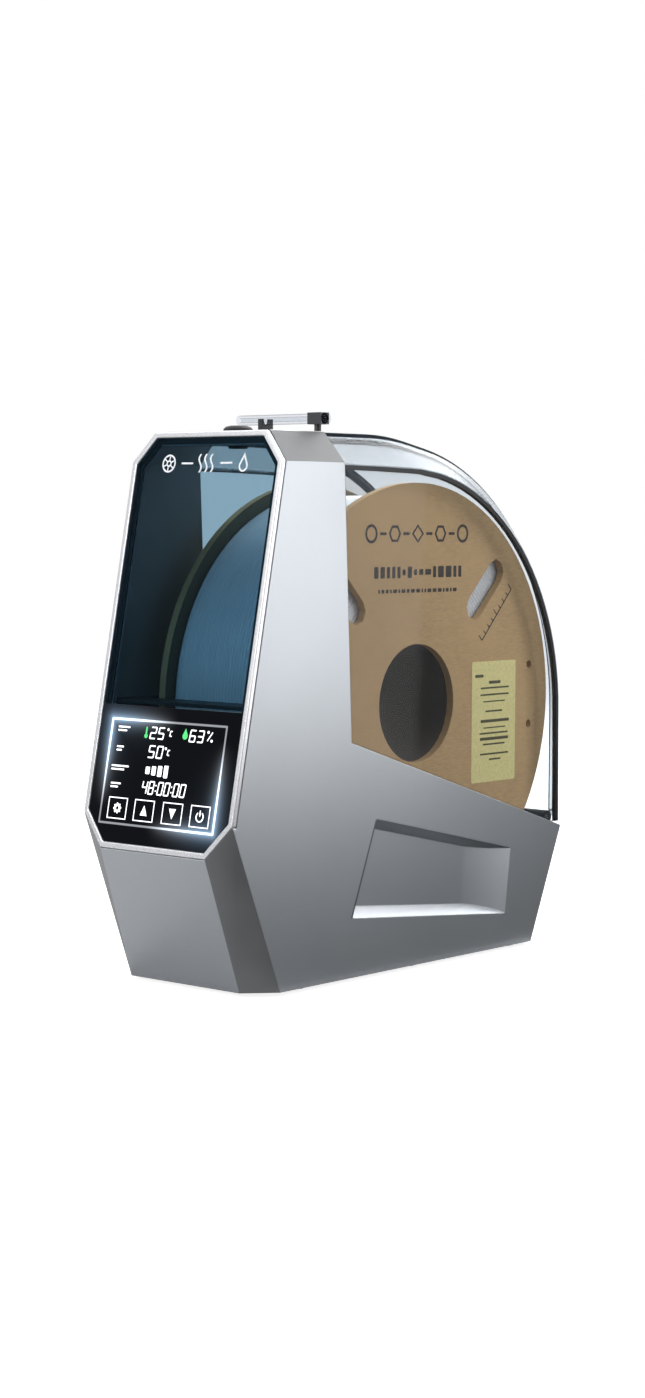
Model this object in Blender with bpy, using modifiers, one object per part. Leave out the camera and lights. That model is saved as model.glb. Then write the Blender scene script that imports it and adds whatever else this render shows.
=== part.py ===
"""Filament dryer box: casing, hinged clear lid, roller cradle, heater, fan and a spool on the rollers."""
import math

import bmesh
import bpy
from mathutils import Matrix, Vector

NAME = "filament_dryer_box"
MM = 0.001

# overall (mm): x across, y front to back, z up, origin under the middle of the box on the table
HALF_W = 44.0
FLOOR_Z = 2.0
WALL = 2.2
GAP = 0.3

# side outline of the casing (y, z)
FRONT_LOW = (-123.9, 61.0)
FRONT_TOP = (-87.9, 240.3)
HEAD_REAR = (-50.4, 240.3)
COLUMN_TOP = (-49.9, 226.7)
COLUMN_FOOT = (-44.3, 105.4)
REAR_TOP = (122.5, 52.6)
REAR_LOW = (100.5, FLOOR_Z)
BASE_FRONT = (-103.6, FLOOR_Z)

# chamfers (mm)
TOP_CUT_X = 11.5
TOP_CUT_S = 13.3
LOW_CUT_X = 13.0
LOW_CUT_S = 14.8
LOW_SIDE_X = 11.8
SIDE_FRONT_Y = -90.8
SIDE_REAR_Y = 88.8
REAR_CUT_X = 11.8

# front panel stack, as depths behind the front plane
RIM = 2.5
BEZEL_DEPTH = 2.5
GLASS = (0.4, 1.6)
MASK = (1.9, 2.4)
CASE_FRONT = 2.8
OPENING_INSET = 5.6
WINDOW_S = 62.5

# lid
LID_WALL = 2.0
ARC_Y = -4.2
ARC_Z = 111.5
SIDE_R = 114.1
ROOF_R = 125.3
ROOF_X = 32.45
ROOF_Z = 240.0
ROOF_FLAT_END = -9.0
ROOF_SLOPE = 0.1908
ROOF_BLEND = 13.0
ROOF_TANGENT = 79.2
ARC_STEPS = 24
LID_GAP = 0.5
HINGE = (119.4, 58.0)
BARREL_R = 3.3
LID_BARREL_X = 17.0
PIN_R = 1.2

# spool and cradle
SPOOL = (14.4, 119.2)
SPOOL_R = 100.0
SPOOL_BORE_R = 27.0
SPOOL_HALF = 33.0
FLANGE = 3.7
CORE_R = 30.0
WOUND_R = 94.5
SLOT_CENTRE_R = 71.8
SLOT_LENGTH = 35.0
SLOT_R = 6.0
SLOT_STEPS = 4
ROLLER_R = 8.0
ROLLER_X = 30.9
ROLLER_W = 5.4
AXLE_R = 2.0
AXLE_DY = 63.0
AXLE_DIST = SPOOL_R + ROLLER_R + GAP
AXLE_Z = SPOOL[1] - math.sqrt(AXLE_DIST ** 2 - AXLE_DY ** 2)

# tub
TUB_X = 36.0
TUB_WALL = 1.7
TUB_IN = [(-91.0, 124.0), (-91.0, 100.0), (-84.0, 70.0), (-64.0, 34.0), (-53.0, 17.5),
          (-5.0, 15.0), (34.0, 15.0), (82.0, 17.5), (93.0, 34.0), (101.0, 50.0)]
SHELF_Z = 124.0
RIM_DROP = 2.0
FLANGE_X = 41.3

# air unit, lower front
FAN_YZ = (-87.5, 22.0)
FAN_SIZE = 28.0
FAN_T = 10.0
FAN_X = -30.0
BLADES = 7
DUCT_X = (-19.4, 25.0)
DUCT_WALL = 1.2

# top fittings
PLUG_Y = -70.0
PLUG_R = 6.4
PLUG_TOP = 243.0
TUBE_Y = -52.2
TUBE_Z = 246.0
TUBE_R = 2.25
TUBE_X = (-15.6, 36.2)
CLAMP_X = (26.9, 34.4)
POST_X = 30.4

# inlet, on the leaning rear wall
INLET_S = 21.5
INLET_W = 21.0
INLET_H = 12.5
INLET_DEPTH = 15.0

SCREWS = [(sx * 37.4, y) for sx in (-1, 1) for y in (-72.0, 4.0, 78.0)]
FEET = [(sx * 27.0, y) for sx in (-1, 1) for y in (-84.0, 82.0)]

# moves the model so that its origin is under the middle of its overall box
CENTRE_SHIFT = 0.635
SMOOTH_ANGLE = 32.0

YZX = Matrix(((0, 0, 1, 0), (1, 0, 0, 0), (0, 1, 0, 0), (0, 0, 0, 1)))
LEAN = math.atan2(FRONT_TOP[0] - FRONT_LOW[0], FRONT_TOP[1] - FRONT_LOW[1])
FRONT_LEN = math.hypot(FRONT_TOP[0] - FRONT_LOW[0], FRONT_TOP[1] - FRONT_LOW[1])
REAR_LEAN = math.atan2(REAR_TOP[0] - REAR_LOW[0], REAR_TOP[1] - REAR_LOW[1])
SLANT = (REAR_TOP[1] - COLUMN_FOOT[1]) / (REAR_TOP[0] - COLUMN_FOOT[0])


def clear_scene():
    for obj in list(bpy.data.objects):
        bpy.data.objects.remove(obj, do_unlink=True)


def new_collection(name):
    col = bpy.data.collections.new(name)
    bpy.context.scene.collection.children.link(col)
    return col


def material(name, rgb, metallic=0.0, roughness=0.5, alpha=1.0):
    mat = bpy.data.materials.new(name)
    mat.use_nodes = True
    shader = mat.node_tree.nodes["Principled BSDF"]
    shader.inputs["Base Color"].default_value = (*rgb, 1.0)
    shader.inputs["Metallic"].default_value = metallic
    shader.inputs["Roughness"].default_value = roughness
    shader.inputs["Alpha"].default_value = alpha
    return mat


def add(name, mesh, spec=None, cutter=False):
    obj = bpy.data.objects.new(name, mesh)
    if cutter:
        obj.hide_render = True
        obj.display_type = "WIRE"
        CUTTERS.objects.link(obj)
        return obj
    mesh.materials.clear()
    mesh.materials.append(material(name, *spec))
    PARTS.objects.link(obj)
    return obj


def finish_mesh(bm, name):
    bmesh.ops.remove_doubles(bm, verts=bm.verts, dist=0.00001)
    bmesh.ops.recalc_face_normals(bm, faces=bm.faces)
    mesh = bpy.data.meshes.new(name)
    bm.to_mesh(mesh)
    bm.free()
    return mesh


def evaluated_mesh(obj):
    depsgraph = bpy.context.evaluated_depsgraph_get()
    return bpy.data.meshes.new_from_object(obj.evaluated_get(depsgraph))


def plate(name, outlines, low, high, frame=YZX):
    """A flat plate from closed outlines (the first is the edge, the rest are holes), in mm."""
    curve = bpy.data.curves.new(name, "CURVE")
    curve.dimensions = "2D"
    curve.fill_mode = "BOTH"
    curve.extrude = (high - low) / 2 * MM
    for points in outlines:
        spline = curve.splines.new("POLY")
        spline.points.add(len(points) - 1)
        for slot, point in zip(spline.points, points):
            slot.co = (point[0] * MM, point[1] * MM, 0, 1)
        spline.use_cyclic_u = True
    holder = bpy.data.objects.new(name, curve)
    bm = bmesh.new()
    mesh = bpy.data.meshes.new_from_object(holder)
    bm.from_mesh(mesh)
    bpy.data.objects.remove(holder)
    bpy.data.meshes.remove(mesh)
    bmesh.ops.translate(bm, verts=bm.verts, vec=(0, 0, (low + high) / 2 * MM))
    bmesh.ops.transform(bm, matrix=frame, verts=bm.verts)
    return finish_mesh(bm, name)


def box(name, x, y, z):
    bm = bmesh.new()
    bmesh.ops.create_cube(bm, size=1.0)
    size = Vector((x[1] - x[0], y[1] - y[0], z[1] - z[0])) * MM
    centre = Vector((x[0] + x[1], y[0] + y[1], z[0] + z[1])) * MM / 2
    bmesh.ops.scale(bm, verts=bm.verts, vec=size)
    bmesh.ops.translate(bm, verts=bm.verts, vec=centre)
    return finish_mesh(bm, name)


def ring(radius, count, centre=(0.0, 0.0)):
    return [(centre[0] + radius * math.cos(a), centre[1] + radius * math.sin(a))
            for a in (2 * math.pi * (i + 0.5) / count for i in range(count))]


def stadium(radius, length, angle, centre, steps=8):
    points = []
    for end in (1, -1):
        for i in range(steps + 1):
            turn = angle - math.pi / 2 + math.pi * i / steps + (0 if end > 0 else math.pi)
            mid = end * (length / 2 - radius)
            points.append((centre[0] + mid * math.cos(angle) + radius * math.cos(turn),
                           centre[1] + mid * math.sin(angle) + radius * math.sin(turn)))
    return points


def offset(points, distances):
    """Moves each edge of a closed outline inwards by its own distance; edge i leaves point i."""
    area = sum(a[0] * b[1] - b[0] * a[1] for a, b in zip(points, points[1:] + points[:1]))
    sign = 1 if area > 0 else -1
    lines = []
    for a, b, d in zip(points, points[1:] + points[:1], distances):
        size = math.hypot(b[0] - a[0], b[1] - a[1])
        step = ((b[0] - a[0]) / size, (b[1] - a[1]) / size)
        lines.append(((a[0] - sign * step[1] * d, a[1] + sign * step[0] * d), step))
    result = []
    for (p, u), (q, v) in zip(lines[-1:] + lines[:-1], lines):
        cross = u[0] * v[1] - u[1] * v[0]
        t = ((q[0] - p[0]) * v[1] - (q[1] - p[1]) * v[0]) / cross
        result.append((p[0] + t * u[0], p[1] + t * u[1]))
    return result


def inset(points, distance):
    return offset(points, [distance] * len(points))


def slice_off(mesh, point, normal):
    """Removes what lies beyond a plane and closes the cut."""
    bm = bmesh.new()
    bm.from_mesh(mesh)
    geom = bm.verts[:] + bm.edges[:] + bm.faces[:]
    cut = bmesh.ops.bisect_plane(bm, geom=geom, dist=1e-7, plane_co=Vector(point) * MM,
                                 plane_no=Vector(normal), clear_outer=True)
    edges = [e for e in cut["geom_cut"] if isinstance(e, bmesh.types.BMEdge)]
    bmesh.ops.holes_fill(bm, edges=edges, sides=0)
    bmesh.ops.recalc_face_normals(bm, faces=bm.faces)
    bm.to_mesh(mesh)
    bm.free()


def hull(name, points):
    bm = bmesh.new()
    for point in points:
        bm.verts.new(Vector(point) * MM)
    result = bmesh.ops.convex_hull(bm, input=bm.verts)
    bmesh.ops.delete(bm, geom=result["geom_interior"], context="VERTS")
    return finish_mesh(bm, name)


def loft(name, rows, closed):
    """A skin through rows of points; closed rows are capped into a solid."""
    bm = bmesh.new()
    verts = [[bm.verts.new(Vector(p) * MM) for p in row] for row in rows]
    count = len(rows[0])
    for row, after in zip(verts, verts[1:]):
        for i in range(count if closed else count - 1):
            j = (i + 1) % count
            bm.faces.new((row[i], row[j], after[j], after[i]))
    if closed:
        bm.faces.new(verts[0][::-1])
        bm.faces.new(verts[-1])
    return finish_mesh(bm, name)


def lathe(name, profile, count, centre, axis="Z"):
    """A turned solid: a closed (radius, height) outline swept round by a Screw modifier."""
    bm = bmesh.new()
    verts = [bm.verts.new((r * MM, 0, h * MM)) for r, h in profile]
    for a, b in zip(verts, verts[1:] + verts[:1]):
        bm.edges.new((a, b))
    mesh = bpy.data.meshes.new(name)
    bm.to_mesh(mesh)
    bm.free()
    holder = bpy.data.objects.new(name, mesh)
    bpy.context.scene.collection.objects.link(holder)
    screw = holder.modifiers.new("turn", "SCREW")
    screw.steps = count
    screw.render_steps = count
    screw.use_merge_vertices = True
    screw.merge_threshold = 0.00001
    solid = evaluated_mesh(holder)
    bm = bmesh.new()
    bm.from_mesh(solid)
    turn = {"Z": Matrix.Identity(4), "X": Matrix.Rotation(math.pi / 2, 4, "Y")}[axis]
    bmesh.ops.transform(bm, matrix=Matrix.Translation(Vector(centre) * MM) @ turn, verts=bm.verts)
    bpy.data.objects.remove(holder)
    return finish_mesh(bm, name)


def cylinder(name, radius, centre, span, axis="X", count=16):
    """A closed cylinder; centre gives the two coordinates across its axis, in order."""
    bm = bmesh.new()
    bmesh.ops.create_cone(bm, cap_ends=True, segments=count, radius1=radius * MM, radius2=radius * MM,
                          depth=(span[1] - span[0]) * MM)
    middle = (span[0] + span[1]) / 2
    if axis == "X":
        place = Matrix.Translation(Vector((middle, *centre)) * MM) @ Matrix.Rotation(math.pi / 2, 4, "Y")
    else:
        place = Matrix.Translation(Vector((*centre, middle)) * MM)
    bmesh.ops.transform(bm, matrix=place, verts=bm.verts)
    return finish_mesh(bm, name)


def boolean(obj, other, operation="DIFFERENCE"):
    mod = obj.modifiers.new(other.name, "BOOLEAN")
    mod.operation = operation
    mod.solver = "EXACT"
    mod.object = other


def cut(obj, mesh):
    boolean(obj, add(f"cut_{mesh.name}", mesh, cutter=True))


def fuse(obj, mesh):
    boolean(obj, add(f"fuse_{mesh.name}", mesh, cutter=True), "UNION")


def bevel(obj, width, segments=2, angle=30):
    mod = obj.modifiers.new("bevel", "BEVEL")
    mod.width = width * MM
    mod.segments = segments
    mod.limit_method = "ANGLE"
    mod.angle_limit = math.radians(angle)
    mod.use_clamp_overlap = True


def front_point(s, depth):
    return (FRONT_LOW[0] + s * math.sin(LEAN) + depth * math.cos(LEAN),
            FRONT_LOW[1] + s * math.cos(LEAN) - depth * math.sin(LEAN))


def front_frame():
    """Plate frame of the leaning front: x across, s up the slope, depth into the box."""
    y, z = front_point(0, 0)
    return Matrix(((1, 0, 0, 0), (0, math.sin(LEAN), math.cos(LEAN), y * MM),
                   (0, math.cos(LEAN), -math.sin(LEAN), z * MM), (0, 0, 0, 1)))


def rear_frame():
    """Plate frame of the leaning rear wall: x across, s up the slope, depth into the box."""
    return Matrix(((1, 0, 0, 0), (0, math.sin(REAR_LEAN), -math.cos(REAR_LEAN), REAR_LOW[0] * MM),
                   (0, math.cos(REAR_LEAN), math.sin(REAR_LEAN), REAR_LOW[1] * MM), (0, 0, 0, 1)))


def octagon():
    top = FRONT_LEN
    return [(-HALF_W + LOW_CUT_X, 0), (HALF_W - LOW_CUT_X, 0), (HALF_W, LOW_CUT_S),
            (HALF_W, top - TOP_CUT_S), (HALF_W - TOP_CUT_X, top), (-HALF_W + TOP_CUT_X, top),
            (-HALF_W, top - TOP_CUT_S), (-HALF_W, LOW_CUT_S)]


def clip_low(points, level):
    """The part of an outline above a level."""
    kept = []
    for a, b in zip(points, points[1:] + points[:1]):
        if a[1] >= level:
            kept.append(a)
        if (a[1] >= level) != (b[1] >= level):
            t = (level - a[1]) / (b[1] - a[1])
            kept.append((a[0] + t * (b[0] - a[0]), level))
    return kept


def clip_high(points, level):
    return [(x, -s) for x, s in clip_low([(x, -s) for x, s in points], -level)]


def chamfer_planes(depth):
    """Plane points and normals of the casing's corner cuts, moved inwards by depth."""
    planes = []
    top_a = Vector((HALF_W, 0, HEAD_REAR[1] - TOP_CUT_S))
    top = Vector((TOP_CUT_S, 0, TOP_CUT_X)).normalized()
    low_a = Vector((HALF_W - LOW_CUT_X, *front_point(0, 0)))
    low_b = Vector((HALF_W, *front_point(LOW_CUT_S, 0)))
    low_c = Vector((HALF_W, SIDE_FRONT_Y, FLOOR_Z))
    low_d = Vector((HALF_W - LOW_SIDE_X, *BASE_FRONT))
    low = (low_b - low_c).cross(low_d - low_c).normalized()
    low = low if low.y < 0 else -low
    fold = (low_b - low_a).cross(low_d - low_a).normalized()
    fold = fold if fold.y < 0 else -fold
    rear_a = Vector((HALF_W, SIDE_REAR_Y, FLOOR_Z))
    rear_b = Vector((HALF_W - REAR_CUT_X, *REAR_LOW))
    rear_up = Vector((0, REAR_TOP[0] - REAR_LOW[0], REAR_TOP[1] - REAR_LOW[1]))
    rear = (rear_b - rear_a).cross(rear_up).normalized()
    rear = rear if rear.y > 0 else -rear
    for sign in (1, -1):
        for point, normal in ((top_a, top), (low_b, low), (low_a, fold), (rear_a, rear)):
            moved = point - normal * depth
            planes.append(((sign * moved.x, moved.y, moved.z), (sign * normal.x, normal.y, normal.z)))
    return planes


def casing_solid(name, walls, depth):
    outline = [BASE_FRONT, FRONT_LOW, FRONT_TOP, HEAD_REAR, COLUMN_TOP, COLUMN_FOOT, REAR_TOP, REAR_LOW]
    mesh = plate(name, [offset(outline, walls)], -HALF_W + depth, HALF_W - depth)
    for point, normal in chamfer_planes(depth):
        slice_off(mesh, point, normal)
    return mesh


def grip_points(side, grow):
    """Corner points of the finger recess on one side wall; grow thickens it for its backing."""
    top_left, low_left = (-26.7, 70.5), (-43.3, 28.4)
    top_right, low_right = (72.0, 48.5), (68.0, 17.9)
    outer = [(top_left[0] - grow, top_left[1] + grow), (low_left[0] - grow, low_left[1] - grow),
             (top_right[0] + grow, top_right[1] + grow), (low_right[0] + grow, low_right[1] - grow)]
    points = [(side * x, y, z) for x in (HALF_W, HALF_W + 3) for y, z in outer]
    if grow:
        points = [(side * (HALF_W - 0.5), y, z) for y, z in outer]
    # the floor is level past the finger space, then rises in four easy steps to the rear end
    steps = [(4.6, (-24.6 - grow, 66.0), (-37.7 - grow, 32.6)), (4.6, (42.0, 51.6), (40.0, 25.0)),
             (3.9, (52.0, 50.1), (49.5, 23.3)), (2.7, (60.5, 49.2), (57.5, 21.4)),
             (1.3, (67.5, 48.8), (64.0, 19.5))]
    for deep, (y0, z0), (y1, z1) in steps:
        floor = HALF_W - deep - grow
        points += [(side * floor, y0, z0 + grow / 2), (side * floor, y1, z1 - grow / 2)]
    return points


def make_casing():
    casing = add("outer_casing", casing_solid("outer_casing", [0] * 8, 0),
                 ((0.50, 0.51, 0.53), 0.85, 0.38))
    walls = [WALL, CASE_FRONT + WALL, WALL, -30, -30, -30, WALL, -6]
    hollow = add("cut_cavity", casing_solid("cavity", walls, WALL), cutter=True)
    for side in (-1, 1):
        cut(hollow, hull(f"grip_back_{side}", grip_points(side, 1.9)))
    for i, (x, y) in enumerate(SCREWS):
        reach = math.copysign(4.0, x)
        cut(hollow, plate(f"boss_{i}", [stadium(3.2, 14.4, 0, (x + reach, y), 6)], 4.6, 12.4,
                          Matrix.Identity(4)))
    boolean(casing, hollow)
    frame = front_frame()
    cut(casing, plate("bezel_seat", [inset(octagon(), -GAP)], -3.0, CASE_FRONT, frame))
    cut(casing, plate("front_hole", [inset(octagon(), OPENING_INSET)], 1.0, 12.0, frame))
    for side in (-1, 1):
        cut(casing, hull(f"grip_{side}", grip_points(side, 0)))
    for i, (x, y) in enumerate(SCREWS):
        cut(casing, cylinder(f"pilot_{i}", 1.5, (x, y), (2.5, 10.5), "Z", 8))
    cut(casing, cylinder("plug_hole", 4.9, (0, PLUG_Y), (230, 245), "Z", 24))
    half = INLET_W / 2 + GAP
    high = INLET_H / 2 + GAP
    edge = [(-half, INLET_S - high), (half, INLET_S - high), (half, INLET_S + high), (-half, INLET_S + high)]
    cut(casing, plate("inlet_hole", [edge], -3, 8, rear_frame()))


def make_front():
    frame = front_frame()
    outline = octagon()
    rim = inset(outline, RIM)
    bezel = add("front_bezel", plate("front_bezel", [outline, rim], 0, BEZEL_DEPTH, frame),
                ((0.82, 0.83, 0.85), 0.6, 0.25))
    bevel(bezel, 0.35, 2)
    glass = inset(outline, RIM + GAP)
    add("front_window", plate("front_window", [clip_low(glass, WINDOW_S + GAP / 2)], *GLASS, frame),
        ((0.10, 0.22, 0.33), 0.0, 0.05, 0.45))
    add("touch_panel", plate("touch_panel", [clip_high(glass, WINDOW_S - GAP / 2)], *GLASS, frame),
        ((0.01, 0.01, 0.012), 0.0, 0.08))
    add("window_mask", plate("window_mask", [glass, inset(outline, OPENING_INSET - 0.4)], *MASK, frame),
        ((0.01, 0.01, 0.01), 0.0, 0.4))
    display = add("display_module", plate("display_module", [[(-30, 10), (30, 10), (30, 60), (-30, 60)]],
                                          3.0, 6.4, frame), ((0.05, 0.05, 0.06), 0.2, 0.4))
    fuse(display, plate("display_back", [[(-24, 16), (24, 16), (24, 54), (-24, 54)]], 6.0, 9.0, frame))
    board = add("control_board", plate("control_board", [[(-31, 4), (31, 4), (31, 56), (-31, 56)]],
                                       11.4, 13.0, frame), ((0.02, 0.16, 0.08), 0.0, 0.5))
    for i, (x, s, w, h) in enumerate([(-20, 16, 9, 6), (2, 30, 7, 7), (20, 44, 8, 5), (16, 14, 5, 5)]):
        fuse(board, plate(f"chip_{i}", [[(x - w, s - h), (x + w, s - h), (x + w, s + h), (x - w, s + h)]],
                          9.8, 12.0, frame))


def slant_z(y):
    return COLUMN_FOOT[1] + (y - COLUMN_FOOT[0]) * SLANT


def make_tub():
    """Black inner tub under the spool, with a hidden rim just inside the casing's edge."""
    rim_low = (TUB_IN[-1][0] + 1.0, slant_z(TUB_IN[-1][0] + 1.0) - RIM_DROP)
    step = (-47.0, slant_z(-47.0) - RIM_DROP)
    inner = TUB_IN + [rim_low]
    top = [(-47.0, SHELF_Z)]
    outer = offset(inner + [step] + top, [TUB_WALL] * len(TUB_IN) + [0, 0, 0])
    tub = add("inner_tub", plate("inner_tub", [outer], -TUB_X, TUB_X), ((0.02, 0.02, 0.022), 0.0, 0.55))
    t = TUB_WALL
    band = [(-106.0, SHELF_Z), (-47.0, SHELF_Z), (-47.0, step[1]), rim_low, (rim_low[0], rim_low[1] - t),
            (-47.0 - t, step[1] - t), (-47.0 - t, SHELF_Z - t), (-106.0, SHELF_Z - t)]
    fuse(tub, plate("tub_rim", [band], -FLANGE_X, FLANGE_X))
    lift = [(rim_low[0], rim_low[1] + 40), (-47.0 + 8, SHELF_Z + 40), (-91.0, SHELF_Z + 40)]
    cut(tub, plate("tub_hollow", [inner + lift], -TUB_X + TUB_WALL, TUB_X - TUB_WALL))
    for i, y in enumerate((SPOOL[0] - AXLE_DY, SPOOL[0] + AXLE_DY)):
        cut(tub, cylinder(f"axle_hole_{i}", AXLE_R + GAP, (y, AXLE_Z), (-38, 38)))
    for i in range(6):
        x = -25 + i * 10
        cut(tub, box(f"vent_{i}", (x - 2, x + 2), (-100, -60), (44, 62)))


def make_base():
    y_front = BASE_FRONT[0] + WALL + 0.9
    y_rear = REAR_LOW[0] - WALL - GAP
    half = HALF_W - WALL - GAP
    cut_y = 12.0
    cut_x = 11.0
    outline = [(-half + cut_x, y_front), (half - cut_x, y_front), (half, y_front + cut_y),
               (half, y_rear - cut_y), (half - cut_x, y_rear), (-half + cut_x, y_rear),
               (-half, y_rear - cut_y), (-half, y_front + cut_y)]
    holes = [ring(1.5, 8, p) for p in SCREWS]
    slots = [stadium(1.2, 26, 0, (0, -84 + 5 * i), 4) for i in range(5)]
    add("bottom_cover", plate("bottom_cover", [outline] + holes + slots, FLOOR_Z, 4.2, Matrix.Identity(4)),
        ((0.03, 0.03, 0.03), 0.0, 0.6))
    for i, (x, y) in enumerate(FEET):
        profile = [(0.001, 0), (6.2, 0), (6.8, 0.5), (6.8, 1.7), (0.001, 1.7)]
        add(f"foot_{i + 1}", lathe(f"foot_{i + 1}", profile, 20, (x, y, 0)), ((0.02, 0.02, 0.02), 0.0, 0.8))
    for i, (x, y) in enumerate(SCREWS):
        profile = [(0.001, 10.0), (1.15, 10.0), (1.15, 1.7), (2.6, 1.7), (2.6, 0.7), (0.001, 0.7)]
        mesh = lathe(f"screw_{i + 1}", profile, 12, (x, y, 0))
        screw = add(f"screw_{i + 1}", mesh, ((0.5, 0.5, 0.5), 1.0, 0.3))
        cut(screw, box(f"drive_{i}", (x - 1.5, x + 1.5), (y - 0.4, y + 0.4), (0.2, 1.2)))


def make_cradle():
    for label, sign in (("front", -1), ("rear", 1)):
        centre = (SPOOL[0] + sign * AXLE_DY, AXLE_Z)
        mesh = cylinder(f"{label}_axle", AXLE_R, centre, (-37.4, 37.4))
        add(f"{label}_axle", mesh, ((0.6, 0.6, 0.62), 1.0, 0.25))
        for side, x in (("left", -ROLLER_X), ("right", ROLLER_X)):
            name = f"roller_{label}_{side}"
            h = ROLLER_W / 2
            profile = [(AXLE_R + 0.15, -h), (ROLLER_R - 0.8, -h), (ROLLER_R, -h + 0.8), (ROLLER_R, h - 0.8),
                       (ROLLER_R - 0.8, h), (AXLE_R + 0.15, h)]
            mesh = lathe(name, profile, 28, (0, 0, 0), "X")
            roller = add(name, mesh, ((0.06, 0.06, 0.065), 0.0, 0.7))
            roller.location = (x * MM, centre[0] * MM, centre[1] * MM)


def make_spool():
    centre = Vector((0, SPOOL[0] * MM, SPOOL[1] * MM))
    windows = []
    for quarter in range(3):
        angle = math.radians(45 + 90 * quarter)
        mid = (SLOT_CENTRE_R * math.cos(angle), SLOT_CENTRE_R * math.sin(angle))
        windows.append(stadium(SLOT_R, SLOT_LENGTH, angle, mid, SLOT_STEPS))
    pins = [ring(1.9, 12, (85.8, z)) for z in (-14.2, 14.2)]
    outlines = [ring(SPOOL_R, 96), ring(SPOOL_BORE_R, 40)] + windows + pins
    for side, low in (("left", -SPOOL_HALF), ("right", SPOOL_HALF - FLANGE)):
        mesh = plate(f"spool_flange_{side}", outlines, low, low + FLANGE)
        flange = add(f"spool_flange_{side}", mesh, ((0.42, 0.29, 0.17), 0.0, 0.8))
        flange.location = centre
    inner = SPOOL_HALF - FLANGE - GAP
    core = add("spool_core", plate("spool_core", [ring(CORE_R, 40), ring(SPOOL_BORE_R, 40)], -inner, inner),
               ((0.25, 0.19, 0.13), 0.0, 0.8))
    core.location = centre
    wound = add("filament_winding", plate("filament_winding", [ring(WOUND_R, 64), ring(CORE_R + GAP, 40)],
                                          -inner, inner), ((0.85, 0.85, 0.86), 0.0, 0.35))
    wound.location = centre


def lid_stations():
    """Matched points of the side edge and the roof edge along the lid, from the head to the hinge."""
    stations = [((-49.4, 226.5), (-49.9, ROOF_Z)), ((-27.0, 226.2), (-30.0, ROOF_Z))]
    for i in range(5):
        y = ROOF_FLAT_END + ROOF_BLEND * (i / 2 - 1)
        side_z = ARC_Z + math.sqrt(SIDE_R ** 2 - max(y - ARC_Y, 0) ** 2)
        side_z += 0.026 * max(ARC_Y - y, 0)
        fall = ROOF_SLOPE * (ROOF_BLEND * i / 2) ** 2 / (4 * ROOF_BLEND)
        stations.append(((y, side_z), (y, ROOF_Z - fall)))
    for i in range(ARC_STEPS + 1):
        a = math.radians(ROOF_TANGENT * (1 - i / ARC_STEPS))
        stations.append(((ARC_Y + SIDE_R * math.cos(a), ARC_Z + SIDE_R * math.sin(a)),
                         (ARC_Y + ROOF_R * math.cos(a), ARC_Z + ROOF_R * math.sin(a))))
    stations.append(((110.3, 85.0), (ARC_Y + ROOF_R, 86.0)))
    stations.append(((110.6, 58.0), (ARC_Y + ROOF_R, HINGE[1] + BARREL_R + LID_GAP)))
    return stations


def make_lid():
    stations = lid_stations()
    clear = ((0.80, 0.86, 0.90), 0.0, 0.04, 0.25)
    rows = []
    for side, roof in stations:
        rows.append([(-HALF_W, *side), (-ROOF_X, *roof), (ROOF_X, *roof), (HALF_W, *side)])
    shell = add("lid_shell", loft("lid_shell", rows, False), clear)
    solid = shell.modifiers.new("wall", "SOLIDIFY")
    solid.thickness = LID_WALL * MM
    solid.offset = -1
    solid.use_even_offset = True
    edge = [side for side, roof in stations[:-1]]
    foot = [(110.6, slant_z(110.6) + LID_GAP), (-43.6, slant_z(-43.6) + LID_GAP)]
    window = offset(edge + foot, [2.9] * len(edge) + [0, 0])
    for label, sign in (("left", -1), ("right", 1)):
        low, high = sorted((sign * (HALF_W - LID_WALL), sign * HALF_W))
        add(f"lid_side_{label}", plate(f"lid_side_{label}", [window], low, high), clear)
        trim = [trim_section(sign, stations, i) for i in range(len(stations))]
        add(f"lid_trim_{label}", loft(f"lid_trim_{label}", trim, True), ((0.015, 0.018, 0.025), 0.0, 0.2))
    mesh = cylinder("lid_hinge_leaf", BARREL_R, HINGE, (-LID_BARREL_X, LID_BARREL_X), count=20)
    leaf = add("lid_hinge_leaf", mesh, ((0.02, 0.02, 0.022), 0.0, 0.4))
    fuse(leaf, box("leaf_bar", (-LID_BARREL_X, LID_BARREL_X), (115.4, 118.8), (58.4, 70.0)))
    cut(leaf, cylinder("leaf_bore", PIN_R + 0.2, HINGE, (-40, 40), count=12))


def trim_section(sign, stations, i):
    """Four corners of the dark seal between the chamfer and the side window at one station."""
    before, after = stations[max(i - 1, 0)][0], stations[min(i + 1, len(stations) - 1)][0]
    run = Vector((after[0] - before[0], after[1] - before[1])).normalized()
    inward = Vector((run.y, -run.x))
    here = Vector(stations[i][0])
    corners = []
    for x, depth in ((HALF_W, 0.5), (HALF_W - 1.7, 2.0), (HALF_W - 2.0, 2.6), (HALF_W, 2.6)):
        point = here + inward * depth
        corners.append((sign * x, point.x, point.y))
    return corners


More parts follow.
